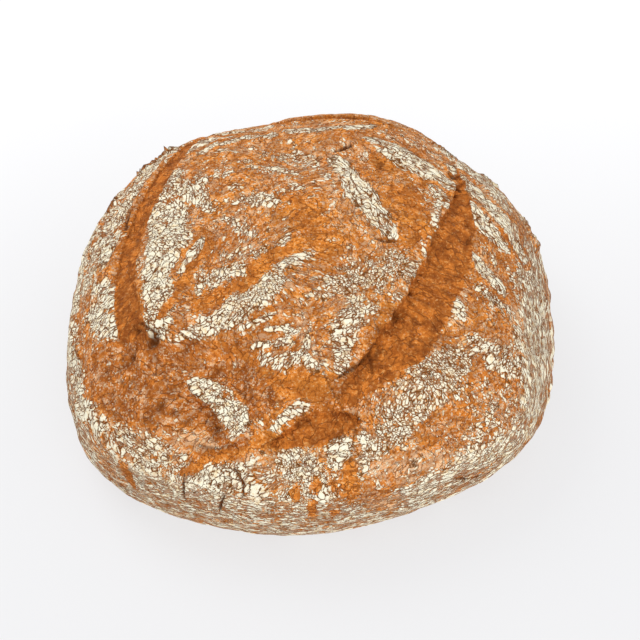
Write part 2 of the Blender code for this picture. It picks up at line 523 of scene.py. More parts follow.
FLOUR_PATCHES = (
    # Left of the lid
    FlourPatch(((-71, 32, 4), (-60, 34, 6), (-50, 20, 5)), strength=0.85),
    FlourPatch(((-66, 20, 9), (-69, 6, 12), (-69, -12, 11), (-67, -28, 9), (-65, -42, 7), (-65, -54, 2)),
               fine=0.12),
    FlourPatch(((-52, -6, 5), (-54, -16, 4.5), (-57, -23, 2)), strength=0.9, grain=2.5),
    FlourPatch(((-43, -31, 5), (-36, -25, 6), (-29, -22, 4)), strength=0.75),
    FlourPatch(((-46, -51, 4), (-39, -46, 6), (-32, -42, 5)), strength=0.9),
    FlourPatch(((-59, -54, 3), (-45, -53, 4.5), (-31, -46, 6), (-22, -38, 8), (-14, -31, 5)), fine=0.4),
    FlourPatch(((-66, 50, 3.5), (-72, 35, 4.5), (-76, 21, 4.5), (-77, 9, 4), (-76, -11, 4)),
               strength=0.85, ragged=0.5),
    # Top and right of the lid
    FlourPatch(((-31, 19, 4), (-18, 18, 6), (-5, 24, 4)), strength=0.7),
    FlourPatch(((12, 44, 4), (19, 30, 7.5), (27, 16, 8.5), (38, -2, 5)), strength=0.88, grain=4.0),
    FlourPatch(((8, -38, 7), (22, -30, 9), (38, -20, 10), (49, -21, 6)), strength=0.62, fine=0.9),
    FlourPatch(((24, -46, 6), (16, -60, 7), (15, -75, 5)), strength=0.8, fine=0.45),
    FlourPatch(((-19, -71, 3), (-13, -74, 4.6), (-7, -71, 3)), ragged=0.7),
    FlourPatch(((-26, -65, 1.2), (-20, -63, 1.8), (-8, -64, 2)), strength=1.1, ragged=0.5),
    FlourPatch(((-19, -57, 1.2), (-13, -56, 1.8), (-5, -58, 1.6)), strength=0.95, ragged=0.6),
    FlourPatch(((-29, -54, 1.2), (-24, -52, 1.9), (-16, -50, 1.2)), strength=1.1, ragged=0.5),
    FlourPatch(((1, -59, 1.6), (-1, -65, 2), (-3, -71, 1.8), (3, -76, 2)), strength=0.9, ragged=0.7),
    FlourPatch(((-11, 70, 2), (-6, 56, 3), (0, 47, 3), (8, 30, 2.6), (18, 20, 3), (23, 7, 2.5)),
               strength=0.62, ragged=0.6),
    FlourPatch(((9, 50, 2), (16, 40, 2.6), (22, 28, 2)), strength=0.5, ragged=0.8),
    FlourPatch(((-54, 39, 2), (-47, 39, 3), (-39, 40, 2.5)), strength=0.6),
    FlourPatch(((-30, 43, 2), (-19, 40, 3), (-8, 38, 2.5)), strength=0.72, ragged=0.8),
    FlourPatch(((-45, 21, 2.5), (-40, 11, 3), (-36, 3, 3), (-25, -6, 2.5)), strength=0.55),
    FlourPatch(((-11, 14, 4), (-9, 2, 4), (-12, -13, 4)), strength=0.52, fine=1.0),
    FlourPatch(((-41, -14, 2.5), (-28, -14, 3), (-15, -19, 2.5)), strength=0.52),
    FlourPatch(((62, 25, 2.2), (59, 11, 2), (55, -6, 2.6), (50, -24, 2)), strength=0.75, ragged=0.6),
    FlourPatch(((-12, -24, 2.6), (-1, -17, 2.2)), strength=1.2, ragged=0.5),
    FlourPatch(((-26, -25, 2.8), (-24, -24, 2.8)), strength=1.2, ragged=0.4),
    FlourPatch(((-19, -28, 2.2), (-15, -29, 2.0)), strength=1.2, ragged=0.4),
    FlourPatch(((28, 60, 5), (40, 56, 7.5), (52, 50, 8.5), (62, 44, 7.5), (68, 38, 4)),
               strength=0.85, grain=3.6),
    FlourPatch(((63, 34, 4.5), (68, 18, 4)), strength=0.8),
    FlourPatch(((60, 4, 3), (55, -10, 3)), strength=0.6),
    FlourPatch(((-12, 81, 3.5), (10, 75, 4), (31, 75, 4)), strength=0.95, grain=2.5),
    FlourPatch(((-51, 84, 6), (-38, 88, 6), (-21, 90, 4)), strength=0.7, grain=2.0),
    FlourPatch(((-22, 58, 6), (-4, 50, 8), (10, 40, 7)), strength=0.45, fine=0.8),
    FlourPatch(((-57, 61, 2.5), (-43, 71, 4), (-29, 77, 3.5), (-18, 80, 3)), strength=0.85, fine=0.5),
    # The strip on the lid's front edge and the flap
    FlourPatch(((-16, -101, 1.6), (-9, -96, 2.8), (-2, -92, 3.2), (8, -87, 1.8)),
               strength=1.3, ragged=0.4),
    FlourPatch(((-51, -75, 2.6), (-46, -78, 4.4), (-39, -83, 5.4), (-34, -89, 7.2), (-32, -95, 6.6),
                (-33, -100, 3)),
               strength=1.4, ragged=0.25),
    # Right side of the rim
    FlourPatch(((79, 27, 4), (88, 17, 6.5), (98, 7, 6.5)), strength=0.9, grain=3.4),
    FlourPatch(((73, 57, 4), (81, 44, 5.5), (91, 33, 6), (103, 22, 7), (112, 9, 7)),
               strength=0.9, grain=3.4),
    FlourPatch(((79, -5, 4), (85, -12, 6), (91, -20, 5)), strength=0.95, grain=2.2),
    FlourPatch(((65, -33, 4), (69, -39, 4)), strength=0.9),
    FlourPatch(((82, -26, 4), (90, -30, 5)), strength=0.8),
    FlourPatch(((76, -52, 5), (88, -56, 8), (100, -57, 9)), strength=0.75, fine=0.5),
    FlourPatch(((121, 12, 15), (118, -20, 18), (114, -46, 17), (115, -70, 12)), strength=0.78),
    FlourPatch(((38, -108, 8), (46, -94, 11), (57, -78, 11), (67, -64, 9)), strength=0.76, fine=0.8),
    FlourPatch(((86, -112, 8), (102, -100, 10), (116, -88, 9)), strength=0.8),
    FlourPatch(((54, -133, 3.5), (67, -127, 4.5), (80, -119, 4.5), (90, -110, 3.5)),
               strength=1.2, ragged=0.6),
    FlourPatch(((100, 40, 8), (90, 62, 10), (72, 82, 9)), strength=0.75, grain=2.5),
    # Front of the rim
    FlourPatch(((13, -105, 4), (15, -111, 6), (12, -117, 4)), strength=0.95),
    FlourPatch(((27, -108, 4), (31, -114, 6), (32, -120, 4.5)), strength=0.95),
    FlourPatch(((-10, -110, 7), (-3, -120, 9), (7, -134, 8)), strength=0.82, fine=0.6),
    FlourPatch(((-59, -118, 7), (-47, -120, 9), (-35, -121, 8)), strength=1.0),
    FlourPatch(((-32, -127, 4), (-24, -131, 5)), strength=0.9),
    FlourPatch(((-86, -93, 9), (-69, -106, 10), (-56, -126, 9)), strength=0.68, fine=0.6),
    FlourPatch(((40, -132, 9), (20, -144, 9), (-10, -150, 9)), strength=0.5),
    # Left of the rim
    FlourPatch(((-108, -28, 6), (-95, -40, 8), (-87, -50, 6)), fine=0.15),
    FlourPatch(((-106, -14, 6), (-97, -24, 6)), strength=1.0),
    FlourPatch(((-132, -34, 6), (-118, -52, 7), (-113, -66, 6)), strength=0.85),
    FlourPatch(((-114, -72, 6), (-101, -82, 6)), strength=0.85),
    FlourPatch(((-90, -75, 2.5), (-86, -79, 2.5)), strength=0.9),
    FlourPatch(((-118, -4, 8), (-114, 20, 8), (-108, 44, 8), (-92, 66, 8), (-72, 86, 7)),
               strength=0.66, grain=1.8),
    # Both sides of the left score, and the back of the lid
    FlourPatch(((-74, 88, 5), (-84, 68, 6), (-95, 50, 6)), strength=0.8),
    FlourPatch(((-97, 40, 6), (-105, 22, 7), (-106, 2, 5)), strength=0.85),
    FlourPatch(((-70, 48, 4), (-61, 34, 6), (-50, 21, 5)), strength=0.6),
    FlourPatch(((-72, 67, 5), (-58, 76, 6), (-42, 80, 5)), strength=0.7, grain=2.5),
    FlourPatch(((-35, 54, 4), (-15, 60, 5), (10, 50, 4)), strength=0.4, grain=2.5),
    FlourPatch(((-62, 58, 3), (-50, 62, 4), (-36, 60, 3)), strength=0.6, grain=2.0),
    # Bare crust
    FlourPatch(((-64, -40, 2.2), (-54, -24, 2.6), (-45, -8, 3.5)), Cover.BARE),
    FlourPatch(((-46, -38, 3), (-34, -36, 3), (-26, -29, 3.4), (-16, -20, 4), (-5, -10, 4)), Cover.BARE),
    FlourPatch(((-6, 14, 9), (2, -2, 8), (6, -14, 7)), Cover.BARE, strength=0.7),
    FlourPatch(((46, 26, 8), (50, 10, 8), (53, -4, 6)), Cover.BARE, strength=0.8),
    FlourPatch(((-36, -66, 8), (-26, -82, 9), (-12, -82, 8), (4, -86, 7)), Cover.BARE, strength=0.9),
    FlourPatch(((21, -121, 3.8), (21, -128, 6), (23, -134, 4.6)), Cover.BARE, ragged=0.45),
    FlourPatch(((4, -127.5, 3.4), (4, -129.5, 3.4)), Cover.BARE, ragged=0.3),
    FlourPatch(((13, -129, 2.2), (13, -130, 2.2)), Cover.BARE, ragged=0.3),
    FlourPatch(((-7, -131, 3), (-7, -133, 3.2)), Cover.BARE, ragged=0.4),
    FlourPatch(((2, -137, 3), (2, -145, 3.6)), Cover.BARE, ragged=0.4),
    FlourPatch(((16, -144, 2.6), (14, -145, 2.6)), Cover.BARE, ragged=0.4),
    FlourPatch(((-92, -105, 3.4), (-93, -111, 2.6), (-94, -118, 2.4)), Cover.BARE, ragged=0.45),
    FlourPatch(((-61, -115, 2), (-48, -112, 3), (-34, -109, 3.4), (-17, -107, 4)),
               Cover.BARE, strength=0.9, ragged=0.6),
    FlourPatch(((31, 47, 3.6), (35, 44.5, 4.6), (39, 42, 3.6)), Cover.BARE, ragged=0.3),
    FlourPatch(((30, -132, 7), (44, -130, 7)), Cover.BARE, strength=0.4),
    # A soft veil of fine flour
    FlourPatch(((36, -122, 8), (50, -122, 10), (66, -113, 8)), Cover.VEIL, strength=0.9, ragged=0.8),
    FlourPatch(((33, -137, 6), (48, -141, 7)), Cover.VEIL, strength=0.9),
    FlourPatch(((-60, -100, 6), (-44, -104, 5), (-28, -104, 4)), Cover.VEIL, strength=0.9),
    FlourPatch(((-104, -96, 6), (-99, -112, 6)), Cover.VEIL, strength=0.8),
    # Thin dust
    FlourPatch(((-4, -52, 5), (4, -76, 4)), Cover.DUST, strength=0.8),
    FlourPatch(((-92, -88, 8), (-60, -96, 8)), Cover.DUST, strength=0.7),
    FlourPatch(((-34, 4, 16), (-8, 40, 18), (30, 52, 16)), Cover.DUST, strength=0.6),
    FlourPatch(((12, -44, 14), (30, -10, 14)), Cover.DUST, strength=0.6),
)


@dataclass
class Flour:
    """Flour on each point of the crust, with the patch that owns the point."""

    thick: np.ndarray
    dust: np.ndarray
    grain: np.ndarray
    swirl: np.ndarray
    fine: np.ndarray
    owner: np.ndarray


@dataclass
class HiddenSide:
    """Patches of flour on the back of the loaf, scattered like those in front.

    Each value is drawn from its span: headings in degrees, reach from the crown and
    half widths in millimetres, and half the turn round the loaf in radians.
    """

    count: int = 26
    seed: int = 7
    heading: Span = (38.0, 200.0)
    reach: Span = (108.0, 172.0)
    turn: Span = (0.05, 0.16)
    half_width: Span = (3.0, 9.0)
    strength: Span = (0.55, 0.95)
    grain: Span = (1.2, 3.0)

    def patches(self) -> tuple[FlourPatch, ...]:
        """Draw the patches.

        Returns:
            Strokes that run round the loaf, in the order they are laid.
        """
        dice = np.random.default_rng(self.seed)
        patches = []
        for _ in range(self.count):
            heading = math.radians(dice.uniform(*self.heading))
            reach = dice.uniform(*self.reach)
            turn = dice.uniform(*self.turn)
            marks = tuple((reach * math.cos(heading + step * turn), reach * math.sin(heading + step * turn),
                           dice.uniform(*self.half_width)) for step in (-1, 0, 1))
            strength = dice.uniform(*self.strength)
            patches.append(FlourPatch(marks, strength=strength, grain=dice.uniform(*self.grain)))
        return tuple(patches)


@dataclass
class FlourDusting:
    """Flour that the proving basket left on the crust.

    A start, a rise or a reach on the sides is a distance from the crown along the crust.
    """

    patches: tuple[FlourPatch, ...] = FLOUR_PATCHES
    hidden: HiddenSide = field(default_factory=HiddenSide)
    lid_thick: float = 0.10
    side_thick: float = 0.56
    thick_rise: Span = (112.0, 140.0)
    lid_dust: float = 0.50
    side_dust: float = 0.60
    side_rise: Span = (100.0, 145.0)
    lid_fine: float = 0.5
    side_coarse: float = 0.8
    drift: Lumps = Lumps(0.45, 26.0, (3.0, 7.0, 1.0), octaves=3)
    dust_drift: Lumps = Lumps(0.3, 18.0, (6.0, 2.0, 8.0), octaves=3)
    edge: Span = (0.40, 1.40)
    ragged: tuple[tuple[Lumps, ...], ...] = (
        (Lumps(3.2, 13.0, (1.0, 5.0, 2.0)), Lumps(1.8, 4.2, (7.0, 3.0, 9.0))),
        (Lumps(3.2, 13.0, (2.0, 5.0, 2.0)), Lumps(1.8, 4.2, (8.0, 3.0, 9.0))))
    swirl: tuple[tuple[Lumps, ...], ...] = (
        (Lumps(9.0, 30.0, (3.0, 1.0, 6.0)),), (Lumps(9.0, 30.0, (8.0, 1.0, 6.0)),))
    right_heading: float = 18.0
    right_rise: Span = (0.5, 0.9)
    right_start: float = 100.0
    front_start: float = 132.0
    side_squeeze: float = 0.48
    side_stretch: float = 0.68
    stretch_length: float = 40.0
    side_wander: Lumps = Lumps(4.0, 24.0, (8.0, 2.0, 5.0))
    wander_length: float = 20.0
    patch_gap: float = 41.0
    patch_reach: float = 104.0
    own_grain: float = 2.0
    cross_power: float = 0.25
    veil_thin: float = 0.8
    bare_clean: float = 0.9

    def bent(self, places: np.ndarray, bends: tuple[tuple[Lumps, ...], ...]) -> np.ndarray:
        """Shift the rolled out places by noise.

        Args:
            places: The crust rolled out flat.
            bends: The noises that shift the places in x and in y.

        Returns:
            The shifted places.
        """
        shifted = places.copy()
        solid = np.column_stack((places, np.zeros(len(places))))
        for axis, noises in enumerate(bends):
            for bend in noises:
                shifted[:, axis] += bend.at(solid)
        return shifted

    def swirled(self, places: np.ndarray) -> np.ndarray:
        """Bend coordinates like the folds of the dough, and run them round the sides.

        Args:
            places: The crust rolled out flat.

        Returns:
            Two coordinates that swirl, and a third that rises down the sides.
        """
        solid = np.column_stack((places, np.zeros(len(places))))
        swirled = self.bent(places, self.swirl)
        reach = np.hypot(places[:, 0], places[:, 1])
        turned = np.arctan2(places[:, 1], places[:, 0]) - math.radians(self.right_heading)
        rightness = smoothstep(*self.right_rise, np.cos(turned))
        start = self.front_start + (self.right_start - self.front_start) * rightness
        beyond = np.maximum(reach - start, 0.0)
        squeeze = 1.0 - self.side_stretch * smoothstep(start, start + self.stretch_length, reach)
        inner = swirled * (squeeze * start / np.maximum(reach, start))[:, None]
        wander = self.side_wander.at(solid) * np.minimum(beyond / self.wander_length, 1.0)
        return np.column_stack((inner, self.side_squeeze * (beyond + wander)))

    def cover(self, places: np.ndarray) -> Flour:
        """Work out the flour at each place on the rolled out crust.

        Args:
            places: The crust rolled out flat.

        Returns:
            Thick flour, thin dust, coordinates that stretch along the grain of each patch,
            coordinates that swirl over the crust, how fine the flour is, and its patch.
        """
        shifts = self.bent(places, self.ragged) - places
        reach = np.hypot(places[:, 0], places[:, 1])
        thick_rise = smoothstep(*self.thick_rise, reach)
        side_rise = smoothstep(*self.side_rise, reach)
        drifts = np.column_stack((places, reach))
        thick = self.lid_thick + (self.side_thick - self.lid_thick) * thick_rise
        thick += np.maximum(self.drift.at(drifts), 0.0)
        dust = self.lid_dust + (self.side_dust - self.lid_dust) * side_rise
        dust += self.dust_drift.at(drifts)
        veil = np.zeros(len(places))
        bare = np.zeros(len(places))
        covers = {Cover.DUST: dust, Cover.VEIL: veil, Cover.BARE: bare}
        swirl = self.swirled(places)
        flour = Flour(thick, dust, swirl.copy(), swirl, np.full(len(places), self.lid_fine),
                      np.zeros(len(places), dtype=int))
        for order, patch in enumerate(self.patches + self.hidden.patches(), start=1):
            line = patch.line()
            curve = line.curve()[:, :2]
            low = curve.min(axis=0) - self.edge[1] * line.reach()
            high = curve.max(axis=0) + self.edge[1] * line.reach()
            ragged = places + shifts * patch.ragged
            close = np.flatnonzero(np.all((ragged > low) & (ragged < high), axis=1))
            if not len(close):
                continue
            crossing = line.cross(ragged[close])
            amount = patch.strength * (1.0 - smoothstep(*self.edge, crossing.share))
            if patch.cover in covers:
                covers[patch.cover][close] = np.maximum(covers[patch.cover][close], amount)
                continue
            stronger = amount > thick[close]
            if not stronger.any():
                continue
            chosen = close[stronger]
            thick[chosen] = amount[stronger]
            flour.owner[chosen] = 0
            flour.fine[chosen] = patch.fine
            flour.grain[chosen] = swirl[chosen]
            if patch.grain >= self.own_grain and reach[chosen].mean() < self.patch_reach:
                flour.owner[chosen] = order
                offset = self.patch_gap * order
                flour.grain[chosen] = np.column_stack((
                    crossing.along[stronger] / patch.grain + offset,
                    crossing.offset[stronger] * patch.grain ** self.cross_power,
                    np.full(len(chosen), offset)))
        flour.thick = thick * (1.0 - bare) * (1.0 - self.veil_thin * veil)
        flour.dust = np.maximum(np.clip(dust, 0.0, 1.0), veil) * (1.0 - self.bare_clean * bare)
        flour.fine *= 1.0 - self.side_coarse * side_rise
        return flour


SCORES = (
    Score("left", CrustLine(((-36, 97, 2, 0.6), (-57, 80, 3.8, 0.8), (-74, 47, 5.4, 1.0),
                             (-84, 15, 5.6, 1.2), (-86, -18, 5.6, 0.8), (-80, -50, 7.0, 0.6))),
          depth=1.4, lip=0.5, deep_side=-1, lip_side=-1, overhang=1.3, lean=0.1, ragged=0.08),
    Score("right", CrustLine(((72, 56, 1.5, 0.8), (73, 33, 4, 0.7), (69, 6, 9.5, 0.6), (60, -22, 11, 0.7),
                              (44, -53, 11.5, 1.0), (18, -80, 5, 0.4))),
          depth=2.7, lip=0.9, deep_side=-1, lip_side=-1, overhang=2.2),
    Score("back", CrustLine(((-18, 91, 2), (4, 93, 5), (24, 92, 5.5), (46, 84, 2))),
          depth=2.2, lip=0.5, deep_side=1, lip_side=-1, overhang=0.6),
    Score("front", CrustLine(((-15, -99, 1.5), (-4, -95.5, 4.5), (8, -92, 6), (21, -90, 2))),
          depth=1.8, lip=0.4, deep_side=1, lip_side=1, overhang=1.2),
)

CRACKS = (
    Crack(CrustLine(((4, -64, 0.3), (7, -74, 0.4), (13, -84, 0.4),
                     (20, -91, 0.5), (20, -95, 0.5), (18, -103, 0.4))), depth=0.8),
    Crack(CrustLine(((30, -56, 0.8), (27, -61, 1.2), (24, -66, 1.2), (18, -71, 0.8), (13, -75, 0.4))),
          depth=1.2),
    Crack(CrustLine(((26, -62, 0.7), (28, -67, 1.0), (28, -72, 0.4))), depth=1.0),
    Crack(CrustLine(((-90, 19, 0.5), (-89.5, 25, 1.1), (-88, 32, 0.5))), depth=1.5),
    Crack(CrustLine(((-76, -43, 0.6), (-72, -47, 1.0), (-68, -50, 0.7)))),
    Crack(CrustLine(((13, 52, 0.8), (17, 55, 1.5), (21, 58, 0.8))), depth=1.6),
    Crack(CrustLine(((30, -6, 0.4), (35, -7, 0.7), (40, -6, 0.4)))),
    Crack(CrustLine(((68, 49, 0.5), (71, 43, 1.0), (74, 37, 0.5))), depth=1.6),
    Crack(CrustLine(((-48, -97, 0.6), (-45, -98, 0.9), (-38, -99, 0.4))), depth=0.9),
)

SIDE_CRACKS = (
    Crack(CrustLine(((-61, -116, 0.5), (-64, -123, 0.8), (-66, -130, 0.5))), depth=1.3),
    Crack(CrustLine(((-36, -118, 0.5), (-33, -125, 0.8), (-34, -132, 0.5))), depth=1.3),
    Crack(CrustLine(((-44, -131, 0.5), (-48, -137, 1.0), (-50, -141, 0.5))), depth=1.3),
    Crack(CrustLine(((84, -122, 0.5), (94, -121, 1.0), (103, -117, 0.5))), depth=1.8),
    Crack(CrustLine(((-116, 1, 0.4), (-110, 3, 0.7), (-104, 1, 0.4))), depth=1.2),
)

FLAKES = (
    Flake(CrustLine(((-91, 66, 1.0), (-87, 71, 1.5))), height=2.8, burnt_and_shade=0.8),
    Flake(CrustLine(((-87, 72, 0.9), (-82, 78, 1.1), (-77, 84, 0.9))), height=1.9, burnt_and_shade=0.6),
    Flake(CrustLine(((-78, 83, 1.0), (-75, 87, 1.3))), height=2.4, burnt_and_shade=0.8),
    Flake(CrustLine(((-111, 46, 1.0), (-108, 52, 1.4), (-105, 58, 1.0))), height=1.9, burnt_and_shade=0.6),
    Flake(CrustLine(((-112, 22, 1.2), (-111, 30, 1.5))), height=1.6, burnt_and_shade=0.3),
    Flake(CrustLine(((-117, -40, 1.2), (-115, -47, 1.5))), height=1.8, burnt_and_shade=0.3),
    Flake(CrustLine(((-121, -66, 1.3), (-116, -74, 1.5))), height=1.6, burnt_and_shade=0.2),
    Flake(CrustLine(((118, 46, 1.3), (123, 36, 1.5), (126, 26, 1.2))), height=1.6, burnt_and_shade=0.2),
    Flake(CrustLine(((96, 74, 1.3), (104, 66, 1.5))), height=1.5, burnt_and_shade=0.2),
    Flake(CrustLine(((66, 84, 1.2), (73, 79, 1.6), (79, 72, 1.3))), height=1.8, burnt_and_shade=0.5),
)


@dataclass
class Folds:
    """Wrinkles of the dough: swirling on the lid, and running round the sides of the loaf."""

    lid_height: float = 0.55
    lid_fold: float = 7.5
    lid_finer: Triple = (2.1, 2.1, 2.1)
    lid_seeds: tuple[Triple, Triple] = ((1.3, 4.7, 2.1), (3.3, 6.7, 0.1))
    side_height: float = 0.95
    side_fold: float = 5.2
    side_length: float = 15.0
    side_radius: float = 120.0
    side_finer: Triple = (1.7, 1.7, 1.9)
    side_seeds: tuple[Triple, Triple] = ((0.3, 0.7, 0.1), (5.3, 2.7, 4.1))
    wander: Lumps = Lumps(3.0, 20.0, (4.0, 8.0, 1.0))
    right_gain: float = 0.2
    right_rise: Span = (0.2, 0.8)
    side_rise: Span = (98.0, 128.0)
    crease: float = 2.6
    broad_share: float = 0.8
    fine_share: float = 0.4

    def wrinkles(self, places: np.ndarray, finer: Triple, seeds: tuple[Triple, Triple]) -> np.ndarray:
        """Work out wrinkles with round ridges and sharp creases.

        Args:
            places: Places in widths of a wrinkle.
            finer: How much finer the small wrinkles are, along each axis.
            seeds: The noise of the broad and of the small wrinkles.

        Returns:
            The wrinkles, from about -1 in a crease to 1 on a ridge.
        """
        broad = 1.0 - self.crease * np.abs(lumpy(places, 1.0, seeds[0]))
        return self.broad_share * -broad + self.fine_share * lumpy(places * finer, 1.0, seeds[1])

    def side_ridges(self, unrolled: np.ndarray, reach: np.ndarray) -> np.ndarray:
        """Work out the wrinkles that run round the sides.

        Args:
            unrolled: The crust rolled out flat.
            reach: How far each place is from the crown.

        Returns:
            The wrinkles, from about -1 in a crease to 1 on a ridge.
        """
        heading = np.arctan2(unrolled[:, 1], unrolled[:, 0])
        round_x = self.side_radius * np.cos(heading) / self.side_length
        round_y = self.side_radius * np.sin(heading) / self.side_length
        wander = self.wander.at(np.column_stack((unrolled, reach)))
        places = np.column_stack((round_x, round_y, (reach + wander) / self.side_fold))
        return self.wrinkles(places, self.side_finer, self.side_seeds)

    def ridges(self, unrolled: np.ndarray, swirl: np.ndarray) -> tuple[np.ndarray, np.ndarray]:
        """Work out all the wrinkles.

        Args:
            unrolled: The crust rolled out flat.
            swirl: Coordinates that swirl over the crust.

        Returns:
            The wrinkles from -1 in a crease to 1 on a ridge, and their height.
        """
        reach = np.hypot(unrolled[:, 0], unrolled[:, 1])
        side = smoothstep(*self.side_rise, reach)
        lid_ridges = self.wrinkles(swirl / self.lid_fold, self.lid_finer, self.lid_seeds)
        ridges = (1.0 - side) * lid_ridges + side * self.side_ridges(unrolled, reach)
        rightness = smoothstep(*self.right_rise, unrolled[:, 0] / np.maximum(reach, 1.0))
        side_height = self.side_height + self.right_gain * rightness
        height = self.lid_height + (side_height - self.lid_height) * side
        return ridges, ridges * height


@dataclass
class CrustMap:
    """What the crust looks like at each point, for its finish."""

    thick: np.ndarray
    dust: np.ndarray
    bare: np.ndarray
    # Painted shade in pits, cracks and crag hollows, and the burnt tips of flakes.
    dark: np.ndarray
    fold: np.ndarray
    fine: np.ndarray
    grain: np.ndarray
    swirl: np.ndarray

    def store(self, data: bpy.types.Mesh) -> None:
        """Store the map on the mesh, as attributes that the finish reads.

        Args:
            data: The crust's mesh.
        """
        for name in ("thick", "dust", "bare", "dark", "fold", "fine"):
            layer = data.attributes.new(name, "FLOAT", "POINT")
            layer.data.foreach_set("value", getattr(self, name).astype(np.float32))
        for name in ("grain", "swirl"):
            layer = data.attributes.new(name, "FLOAT_VECTOR", "POINT")
            layer.data.foreach_set("vector", getattr(self, name).astype(np.float32).ravel())


@dataclass(frozen=True)
class Clouds:
    """A noise of the finish: the size of its lumps, its layers, and how rough they make it."""

    size: float
    layers: float = 2.0
    rough: float = 0.5


Socket = bpy.types.NodeSocket
Feed = Socket | float | Colour


@dataclass
class NodeDesk:
    """Places and links the nodes of one material."""

    tree: bpy.types.NodeTree

    def place(self, kind: str, **settings: object) -> bpy.types.Node:
        """Add a node.

        Args:
            kind: Blender's name for the kind of node.
            **settings: Values for the node's own settings.

        Returns:
            The new node.
        """
        node = self.tree.nodes.new(kind)
        for name, value in settings.items():
            setattr(node, name, value)
        return node

    def feed(self, socket: Socket, value: Feed) -> None:
        """Link a socket to another, or set its value.

        Args:
            socket: The socket that is fed.
            value: Another node's socket, or a value.
        """
        if isinstance(value, Socket):
            self.tree.links.new(value, socket)
        else:
            socket.default_value = value

    def maths(self, operation: str, first: Feed, second: Feed = 0.0) -> Socket:
        """Combine two numbers.

        Args:
            operation: Blender's name for the operation.
            first: The first number.
            second: The second number.

        Returns:
            The result.
        """
        node = self.place("ShaderNodeMath", operation=operation)
        self.feed(node.inputs[0], first)
        self.feed(node.inputs[1], second)
        return node.outputs[0]

    def plus(self, first: Feed, second: Feed) -> Socket:
        """Add two numbers."""
        return self.maths("ADD", first, second)

    def less(self, first: Feed, second: Feed) -> Socket:
        """Take the second number from the first."""
        return self.maths("SUBTRACT", first, second)

    def times(self, first: Feed, second: Feed) -> Socket:
        """Multiply two numbers."""
        return self.maths("MULTIPLY", first, second)

    def larger(self, first: Feed, second: Feed) -> Socket:
        """Take the larger of two numbers."""
        return self.maths("MAXIMUM", first, second)

    def vector(self, operation: str, first: Feed, second: Feed) -> Socket:
        """Combine two vectors.

        Args:
            operation: Blender's name for the operation.
            first: The first vector.
            second: The second vector.

        Returns:
            The result.
        """
        node = self.place("ShaderNodeVectorMath", operation=operation)
        self.feed(node.inputs[0], first)
        self.feed(node.inputs[1], second)
        return node.outputs[0]

    def scaled(self, first: Feed, factor: float) -> Socket:
        """Multiply a vector by a number.

        Args:
            first: The vector.
            factor: The number.

        Returns:
            The longer or shorter vector.
        """
        node = self.place("ShaderNodeVectorMath", operation="SCALE")
        self.feed(node.inputs[0], first)
        node.inputs["Scale"].default_value = factor
        return node.outputs[0]

    def axis(self, vector: Feed, name: str) -> Socket:
        """Read X, Y or Z of a vector.

        Args:
            vector: The vector.
            name: The axis.

        Returns:
            The number along that axis.
        """
        split = self.place("ShaderNodeSeparateXYZ")
        self.feed(split.inputs[0], vector)
        return split.outputs[name]

    def rise(self, low: float, high: float, value: Feed) -> Socket:
        """Rise smoothly from 0 to 1.

        Args:
            low: Value at which the rise starts.
            high: Value at which the rise ends.
            value: The value to map.

        Returns:
            The share of the rise.
        """
        node = self.place("ShaderNodeMapRange", interpolation_type="SMOOTHSTEP")
        self.feed(node.inputs["Value"], value)
        node.inputs["From Min"].default_value = low
        node.inputs["From Max"].default_value = high
        return node.outputs["Result"]

    def clouds(self, places: Feed, clouds: Clouds) -> bpy.types.Node:
        """Add a noise.

        Args:
            places: Coordinates in millimetres.
            clouds: Size and layers of the noise.

        Returns:
            The noise's node.
        """
        node = self.place("ShaderNodeTexNoise")
        self.feed(node.inputs["Vector"], places)
        node.inputs["Scale"].default_value = 1.0 / clouds.size
        node.inputs["Detail"].default_value = clouds.layers
        node.inputs["Roughness"].default_value = clouds.rough
        return node

    def cloud(self, places: Feed, clouds: Clouds) -> Socket:
        """Height of a noise, from 0 to 1."""
        return self.clouds(places, clouds).outputs["Fac"]

    def cells(self, places: Feed, size: float, feature: str) -> bpy.types.Node:
        """Add cells of one size.

        Args:
            places: Coordinates in millimetres.
            size: Distance across one cell.
            feature: Blender's name for what the cells give.

        Returns:
            The cells' node.
        """
        node = self.place("ShaderNodeTexVoronoi", feature=feature)
        self.feed(node.inputs["Vector"], places)
        node.inputs["Scale"].default_value = 1.0 / size
        return node

    def inside(self, places: Feed, size: float) -> Socket:
        """Distance from the edge of each cell, in widths of a cell."""
        return self.cells(places, size, "DISTANCE_TO_EDGE").outputs["Distance"]

    def luck(self, places: Feed, size: float) -> Socket:
        """Draw a random number from 0 to 1 for each cell.

        Args:
            places: Coordinates in millimetres.
            size: Distance across one cell.

        Returns:
            The same number all over a cell.
        """
        split = self.place("ShaderNodeSeparateColor")
        self.feed(split.inputs[0], self.cells(places, size, "F1").outputs["Color"])
        return split.outputs[0]

    def blend(self, share: Feed, first: Feed, second: Feed) -> Socket:
        """Blend two colours.

        Args:
            share: The share of the second colour.
            first: The first colour.
            second: The second colour.

        Returns:
            The blended colour.
        """
        node = self.place("ShaderNodeMix", data_type="RGBA")
        self.feed(node.inputs["Factor"], share)
        self.feed(node.inputs[MIX_FIRST], first)
        self.feed(node.inputs[MIX_SECOND], second)
        return node.outputs[MIX_RESULT]

    def stored(self, name: str, output: str = "Fac") -> Socket:
        """Read an attribute of the mesh."""
        return self.place("ShaderNodeAttribute", attribute_name=name).outputs[output]


def colour(red: int, green: int, blue: int) -> Colour:
    """Turn a display colour into the shader's linear colour, by the sRGB curve.

    Args:
        red: Red from 0 to 255.
        green: Green from 0 to 255.
        blue: Blue from 0 to 255.

    Returns:
        The linear colour, with an alpha of 1.
    """
    channels = []
    for value in (red, green, blue):
        share = value / 255.0
        channels.append(share / 12.92 if share <= 0.04045 else ((share + 0.055) / 1.055) ** 2.4)
    return (*channels, 1.0)


